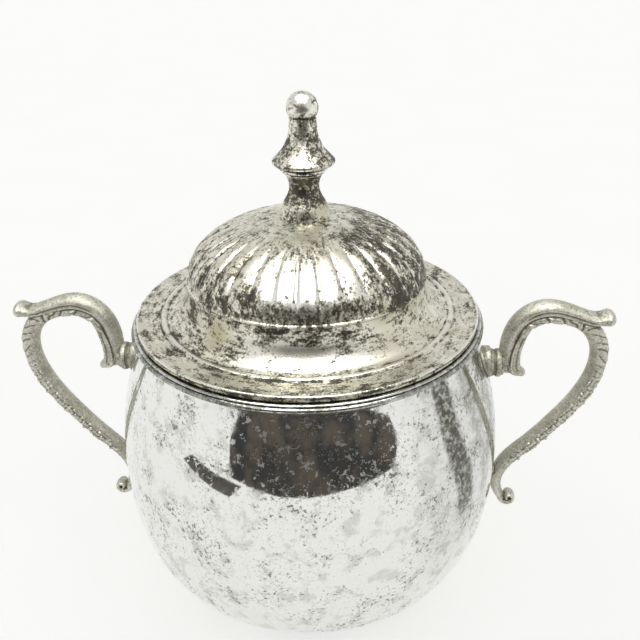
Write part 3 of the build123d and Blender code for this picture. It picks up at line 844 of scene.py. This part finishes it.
# Handle collars
def collar_outline(centre_z):
    """(radius, distance out along X) in metres: flared skirt, hollow, bead and throat."""
    start = float(bowl_radius_at(centre_z + 4.8 * MM)) / MM - 0.6
    skirt = float(bowl_radius_at(centre_z)) / MM + 0.6
    end = collar_high.x / MM
    bead = (end - 0.8 - skirt) / 2
    rows = [(0.0, start), (4.6, start), (4.75, start + 0.2), (4.75, skirt - 0.12)]
    rows += [(4.62, skirt + 0.06), (4.35, skirt + 0.2)]
    hollow = [(4.15, 0.3), (3.85, 0.5 * bead), (3.75, 0.7 * bead), (3.72, bead)]
    rows += bezier(*((r, skirt + out) for r, out in hollow), 10)
    turn = np.linspace(math.pi, 0, 14)
    rows += [(3.66 + 0.42 * math.sin(a), skirt + 1.5 * bead + bead / 2 * math.cos(a)) for a in turn]
    rows += [(3.55, skirt + 2 * bead + 0.05), (3.5, end - 0.35), (3.4, end - 0.1), (3.0, end), (0.0, end)]
    return [(r * MM, out * MM) for r, out in rows]


def make_collars(material):
    centre_z = (collar_low.z + collar_high.z) / 2
    spun, faces = lathe_grid(collar_outline(centre_z), AROUND_COLLAR)
    for side, sign in (("right", 1), ("left", -1)):
        verts = np.c_[spun[:, 2], spun[:, 0], spun[:, 1] + centre_z]
        keep_off_bowl(verts)
        verts[:, 0] *= sign
        outside = np.hypot(verts[:, 1], verts[:, 2] - centre_z) / MM
        sunk = 0.10 + 0.8 * peak(outside, 3.72, 0.12)
        piece = mesh_object(f"handle_{side}_socket", verts, faces, {"hollow": sunk})
        finish_piece(piece, f"handle_{side}_collar", "bowl", material)


# Materials
class Paint:
    """A node material under construction, in object coordinates."""

    def __init__(self, name):
        self.material = bpy.data.materials.new(name)
        self.material.use_nodes = True
        self.material.node_tree.nodes.clear()
        out = self.node("OutputMaterial", {})
        self.shader = self.node("BsdfPrincipled", {})
        self.feed(out.inputs["Surface"], self.shader.outputs["BSDF"])
        self.place = self.node("TexCoord", {}).outputs["Object"]

    def feed(self, socket, value):
        if isinstance(value, bpy.types.NodeSocket):
            self.material.node_tree.links.new(value, socket)
        else:
            socket.default_value = value

    def node(self, kind, inputs, **settings):
        node = self.material.node_tree.nodes.new("ShaderNode" + kind)
        for key, value in settings.items():
            setattr(node, key, value)
        for key, value in inputs.items():
            self.feed(node.inputs[key], value)
        return node

    def noise(self, size, detail=3.0, rough=0.55, vector=None, twist=0.0):
        """Noise whose features are about size metres across."""
        inputs = {"Vector": vector or self.place, "Scale": 1 / size, "Detail": detail}
        return self.node("TexNoise", {**inputs, "Roughness": rough, "Distortion": twist}).outputs["Fac"]

    def step(self, value, low, high, start=0.0, end=1.0):
        inputs = {"Value": value, "From Min": low, "From Max": high, "To Min": start, "To Max": end}
        return self.node("MapRange", inputs, interpolation_type="SMOOTHSTEP").outputs["Result"]

    def math(self, kind, a, b=0.0, clamp=False):
        return self.node("Math", {0: a, 1: b}, operation=kind, use_clamp=clamp).outputs[0]

    def vector(self, kind, a, **inputs):
        return self.node("VectorMath", {0: a, **inputs}, operation=kind).outputs

    def weighted(self, *terms):
        """Sum of pairs of a number and its weight."""
        total = None
        for value, weight in terms:
            part = value if weight == 1 else self.math("MULTIPLY", value, weight)
            total = part if total is None else self.math("ADD", total, part)
        return total

    def mask(self, name):
        return self.node("Attribute", {}, attribute_name=name).outputs["Fac"]

    def mix(self, share, a, b):
        """Colour a, turning to b as share goes from 0 to 1."""
        a, b = ((*c, 1) if isinstance(c, tuple) else c for c in (a, b))
        return self.node("Mix", {"Factor": share, 6: a, 7: b}, data_type="RGBA").outputs[2]

    def blend(self, share, a, b):
        """Number a, turning to b as share goes from 0 to 1."""
        return self.node("Mix", {"Factor": share, 2: a, 3: b}, data_type="FLOAT").outputs[0]

    def round_places(self, across, along):
        """Coordinates stretched round or along a turned piece: across the turn and along its outline."""
        x, y, z = self.node("SeparateXYZ", {0: self.place}).outputs
        level = self.node("CombineXYZ", {0: x, 1: y}).outputs[0]
        unit = self.vector("NORMALIZE", level)[0]
        wide = self.vector("SCALE", unit, Scale=across)[0]
        climb = self.math("SUBTRACT", z, self.vector("LENGTH", level)["Value"])
        lift = self.node("CombineXYZ", {2: self.math("MULTIPLY", climb, along)}).outputs[0]
        return self.node("VectorMath", {0: wide, 1: lift}, operation="ADD").outputs[0]

    def finish(self, colour, roughness, height, depth, strength=1.0):
        """Join colour, roughness and a bump of the given depth to a metal shader."""
        bump = self.node("Bump", {"Strength": strength, "Distance": depth, "Height": height})
        inputs = {"Base Color": colour, "Roughness": roughness, "Metallic": 1.0, "Normal": bump.outputs[0]}
        for key, value in inputs.items():
            self.feed(self.shader.inputs[key], value)
        return self.material


def tarnished_plate():
    """Old silver plate on the lid: bare metal under a beige film, with crisp dark tarnish; the masks also
    carry painted highlights and painted shade.
    """
    p = Paint("tarnished_plate")
    round_lid = p.round_places(34 * MM * 0.45, 1.0)
    up_lobes = p.round_places(30 * MM, 0.45)
    tarnish_and_painted_shade, olive, bare_and_highlight = p.mask("tarnish_and_painted_shade"), p.mask("olive"), p.mask("bare_and_highlight")
    dome, even, dull = p.mask("dome"), p.mask("even"), p.mask("dull")
    spots_flat = p.noise(1.15 * MM, 3.0, 0.62, round_lid, 0.15)
    spots_dome = p.noise(1.10 * MM, 3.0, 0.62, up_lobes, 0.15)
    spots_even = p.noise(1.35 * MM, 3.0, 0.62, None, 0.3)
    spots = p.blend(even, p.blend(dome, spots_flat, spots_dome), spots_even)
    grit = p.noise(0.52 * MM, 1.0, 0.5)
    cover = p.noise(4.2 * MM, 2.0, 0.5)
    level = p.weighted((tarnish_and_painted_shade, 0.17), (cover, 0.34), (grit, 0.32), (spots, 0.55))
    dark = p.step(level, 0.728, 0.748)
    half = p.step(level, 0.655, 0.690)
    tone = p.step(p.noise(2.6 * MM, 3.0, 0.6, None, 0.4), 0.40, 0.60)
    film = p.mix(tone, (0.77, 0.755, 0.66), (0.63, 0.615, 0.52))
    film = p.mix(p.step(p.noise(11 * MM, 2.0, 0.5), 0.52, 0.64), film, (0.665, 0.635, 0.53))
    # The dull mask here: pale colour on the front of the shoulder, a painted highlight, on a rougher film.
    film = p.mix(dull, film, (0.93, 0.915, 0.84))
    film = p.mix(p.math("MULTIPLY", olive, 0.75), film, (0.42, 0.40, 0.22))
    metal = p.mix(bare_and_highlight, film, (0.94, 0.935, 0.90))
    metal = p.mix(p.math("MULTIPLY", half, 0.78), metal, (0.25, 0.24, 0.185))
    soot_tone = p.step(p.noise(1.8 * MM, 2.0, 0.5), 0.42, 0.58)
    soot_colour = p.mix(soot_tone, (0.050, 0.048, 0.040), (0.100, 0.085, 0.062))
    colour = p.mix(p.math("MULTIPLY", dark, 0.94), metal, soot_colour)
    roughness = p.blend(bare_and_highlight, p.blend(dull, 0.38, 0.66), 0.15)
    roughness = p.blend(dark, p.blend(half, roughness, 0.42), 0.50)
    grain = p.noise(0.22 * MM, 3.0, 0.6)
    return p.finish(colour, roughness, p.weighted((dark, -0.6), (grain, 0.5)), 0.025 * MM)


def polished_plate():
    """Brighter plate of the bowl: a near mirror with grey pits, specks and faint smudges."""
    p = Paint("polished_plate")
    tarnish_and_painted_shade = p.mask("tarnish_and_painted_shade")
    cloud = p.noise(4.5 * MM, 3.0, 0.6, None, 0.3)
    smudge = p.step(p.weighted((cloud, 1.0), (tarnish_and_painted_shade, 0.25)), 0.50, 0.66)
    cover = p.noise(9 * MM, 2.0, 0.5)
    level = p.weighted((p.noise(0.95 * MM, 3.0, 0.6, None, 0.3), 0.7), (cover, 0.35), (tarnish_and_painted_shade, 0.10))
    specks = p.step(level, 0.627, 0.647)
    faint = p.step(level, 0.560, 0.615)
    fine = p.step(p.weighted((p.noise(0.42 * MM, 1.0, 0.5), 1.0), (cover, 0.35)), 0.84, 0.89)
    metal = p.mix(p.math("MULTIPLY", smudge, 0.7), (0.83, 0.835, 0.81), (0.60, 0.605, 0.56))
    metal = p.mix(p.math("MULTIPLY", faint, 0.5), metal, (0.52, 0.525, 0.49))
    metal = p.mix(p.math("MULTIPLY", specks, 0.9), metal, (0.24, 0.24, 0.21))
    metal = p.mix(p.math("MULTIPLY", fine, 0.6), metal, (0.25, 0.25, 0.22))
    blotch = p.step(p.noise(1.6 * MM, 3.0, 0.6, None, 0.3), 0.36, 0.60, 0.55, 1.25)
    # Darker where the tarnish mask is high: tarnish at the neck, inside and on the rim, and painted
    # reflections on the bowl's right.
    colour = p.mix(p.math("MULTIPLY", tarnish_and_painted_shade, blotch, True), metal, (0.10, 0.10, 0.08))
    haze = p.step(p.noise(2.3 * MM, 4.0, 0.66, None, 0.4), 0.575, 0.62)
    roughness = p.blend(specks, p.blend(smudge, 0.045, 0.12), 0.30)
    roughness = p.blend(haze, roughness, 0.32)
    return p.finish(colour, roughness, p.weighted((cloud, 0.4), (specks, -0.35)), 0.03 * MM)


def cast_plate():
    """Satin cast plate of the handles: olive grey, dark in the recesses and bright on worn edges."""
    p = Paint("cast_plate")
    hollow = p.mask("hollow")
    mottle = p.noise(1.1 * MM, 4.0, 0.65, None, 0.3)
    # Darker in the recesses and, on the handles, at their tops, where painted shade is added to the hollow
    # mask; broken up by mottling.
    dark_places = p.step(p.weighted((hollow, 1.0), (mottle, 0.9)), 0.46, 0.82)
    worn = p.step(p.weighted((hollow, -1.0), (mottle, 0.6)), 0.42, 0.90)
    tone = p.step(p.noise(3.5 * MM, 3.0, 0.6), 0.40, 0.60)
    metal = p.mix(tone, (0.61, 0.60, 0.52), (0.48, 0.475, 0.39))
    metal = p.mix(p.math("MULTIPLY", worn, 0.6), metal, (0.69, 0.685, 0.62))
    specks = p.step(p.weighted((p.noise(0.55 * MM, 2.0, 0.5), 1.0), (mottle, 0.6)), 0.80, 0.90)
    metal = p.mix(p.math("MULTIPLY", specks, 0.60), metal, (0.27, 0.26, 0.21))
    colour = p.mix(p.math("MULTIPLY", dark_places, 0.85), metal, (0.16, 0.15, 0.11))
    roughness = p.blend(dark_places, p.blend(worn, 0.56, 0.44), 0.55)
    grain = p.weighted((p.noise(0.4 * MM, 3.0, 0.6), 1.0), (p.noise(1.2 * MM, 2.0, 0.5), 0.8))
    return p.finish(colour, roughness, grain, 0.10 * MM)


def bare_brass():
    """Plain turned brass of the finial's fixings, dulled by age."""
    p = Paint("bare_brass")
    dull = p.step(p.noise(1.8 * MM, 4.0, 0.6), 0.38, 0.66)
    colour = p.mix(dull, (0.76, 0.58, 0.28), (0.36, 0.25, 0.12))
    return p.finish(colour, p.blend(dull, 0.24, 0.5), p.noise(0.25 * MM, 2.0, 0.5), 0.01 * MM, 0.7)


# Studio
def stage_material(name, colour, other, glow, roughness):
    """Faintly mottled matt board or paper."""
    p = Paint(name)
    mottle = p.step(p.noise(60 * MM, 2.0, 0.5), 0.40, 0.60)
    p.feed(p.shader.inputs["Base Color"], p.mix(mottle, colour, other))
    p.shader.inputs["Roughness"].default_value = roughness
    p.shader.inputs["Emission Color"].default_value = (1, 1, 0.995, 1)
    p.shader.inputs["Emission Strength"].default_value = glow
    return p.material


def sheet_object(name, corners, material):
    mesh = bpy.data.meshes.new(name)
    mesh.from_pydata(corners, [], [tuple(range(len(corners)))])
    mesh.materials.append(material)
    thing = bpy.data.objects.new(name, mesh)
    bpy.context.scene.collection.objects.link(thing)
    return thing


FLOOR_REACH = 3.0
CARD_Y = -0.275
CARD_OUTLINE = [
    (-0.205, 0.004), (-0.05, 0.0), (0.12, 0.004), (0.30, 0.0), (0.355, 0.06), (0.33, 0.135),
    (0.20, 0.165), (0.14, 0.25), (0.06, 0.29), (0.04, 0.38), (0.01, 0.45), (-0.03, 0.38), (-0.045, 0.29),
    (-0.12, 0.25), (-0.19, 0.16), (-0.215, 0.08),
]


def make_floor():
    paper = stage_material("floor_paper", (0.72, 0.72, 0.71), (0.71, 0.71, 0.70), 0.47, 0.9)
    corners = [(x * FLOOR_REACH, y * FLOOR_REACH, 0) for x, y in ((-1, -1), (1, -1), (1, 1), (-1, 1))]
    sheet_object("floor", corners, paper)


def make_dark_card():
    """Dark board behind the camera, for the dark reflection in the front of the bowl."""
    board = stage_material("dark_board", (0.030, 0.029, 0.030), (0.105, 0.085, 0.066), 0.0, 0.8)
    card = [(x, CARD_Y, z) for x, z in CARD_OUTLINE]
    strip = [(-0.262, -0.128, 0), (-0.330, -0.195, 0), (-0.150, -0.262, 0), (-0.124, -0.176, 0)]
    for name, corners in (("dark_card", card), ("dark_strip", strip)):
        sheet = sheet_object(name, [(x, y, z + MM) for x, y, z in corners], board)
        sheet.visible_camera = False
        sheet.visible_shadow = False
        sheet.visible_diffuse = False


def light_world():
    """White surroundings, a little darker overhead than at the horizon."""
    world = bpy.data.worlds.new("studio")
    world.use_nodes = True
    nodes, links = world.node_tree.nodes, world.node_tree.links
    nodes.clear()
    kinds = ("TexCoord", "SeparateXYZ", "ValToRGB", "Background", "OutputWorld")
    place, split, ramp, glow, out = (nodes.new("ShaderNode" + kind) for kind in kinds)
    stops = ramp.color_ramp.elements
    stops.new(0.35)
    sky = [(0.0, (0.98, 0.98, 0.97, 1)), (0.35, (0.90, 0.90, 0.89, 1)), (0.9, (0.50, 0.50, 0.49, 1))]
    for stop, (height, colour) in zip(stops, sky):
        stop.position = height
        stop.color = colour
    links.new(place.outputs["Generated"], split.inputs[0])
    links.new(split.outputs[2], ramp.inputs[0])
    links.new(ramp.outputs[0], glow.inputs[0])
    links.new(glow.outputs[0], out.inputs[0])
    bpy.context.scene.world = world


def make_camera():
    """Camera in front of the bowl, looking down at it, with a slight roll."""
    rim_plane = rim_high.z - 1.2 * MM
    distance, offset, above = 0.192, 0.0034, 0.0989
    heading, pitch, roll = math.radians(4.2), math.radians(27.79), math.radians(-1.06)
    lens = bpy.data.cameras.new("camera")
    lens.lens = 43.75
    lens.sensor_width = 36.0
    lens.clip_start = 0.01
    camera = bpy.data.objects.new("camera", lens)
    place = Matrix.Rotation(heading, 4, "Z") @ Matrix.Translation((offset, -distance, rim_plane + above))
    tilt = Matrix.Rotation(math.pi / 2 - pitch, 4, "X")
    camera.matrix_world = place @ tilt @ Matrix.Rotation(roll, 4, "Z")
    bpy.context.scene.collection.objects.link(camera)
    bpy.context.scene.camera = camera


def make_lights():
    """One soft overhead box, facing straight down."""
    lamp = bpy.data.lights.new("overhead", "AREA")
    lamp.shape = "RECTANGLE"
    lamp.size, lamp.size_y = 0.70, 0.78
    lamp.energy = 8.0
    box = bpy.data.objects.new("overhead", lamp)
    box.location = (0.0, -0.27, 0.75)
    box.visible_diffuse = False
    bpy.context.scene.collection.objects.link(box)


# Everything together
def paint_nodes(material, *names):
    for name in names:
        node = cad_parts[name]
        node.data.materials.clear()
        node.data.materials.append(material)


polished, tarnished, cast, brass = polished_plate(), tarnished_plate(), cast_plate(), bare_brass()
make_bowl(polished)
make_rim(polished)
make_foot(polished)
make_lid_shell(tarnished)
make_lid_edge(tarnished)
make_lid_bezel(tarnished)
make_finial(tarnished)
make_handles(cast)
make_collars(cast)
paint_nodes(brass, "finial_stud", "finial_washer", "finial_nut")

make_floor()
make_dark_card()
make_lights()
light_world()
make_camera()
bpy.context.scene.view_settings.view_transform = "Standard"
bpy.context.scene.view_settings.look = "None"
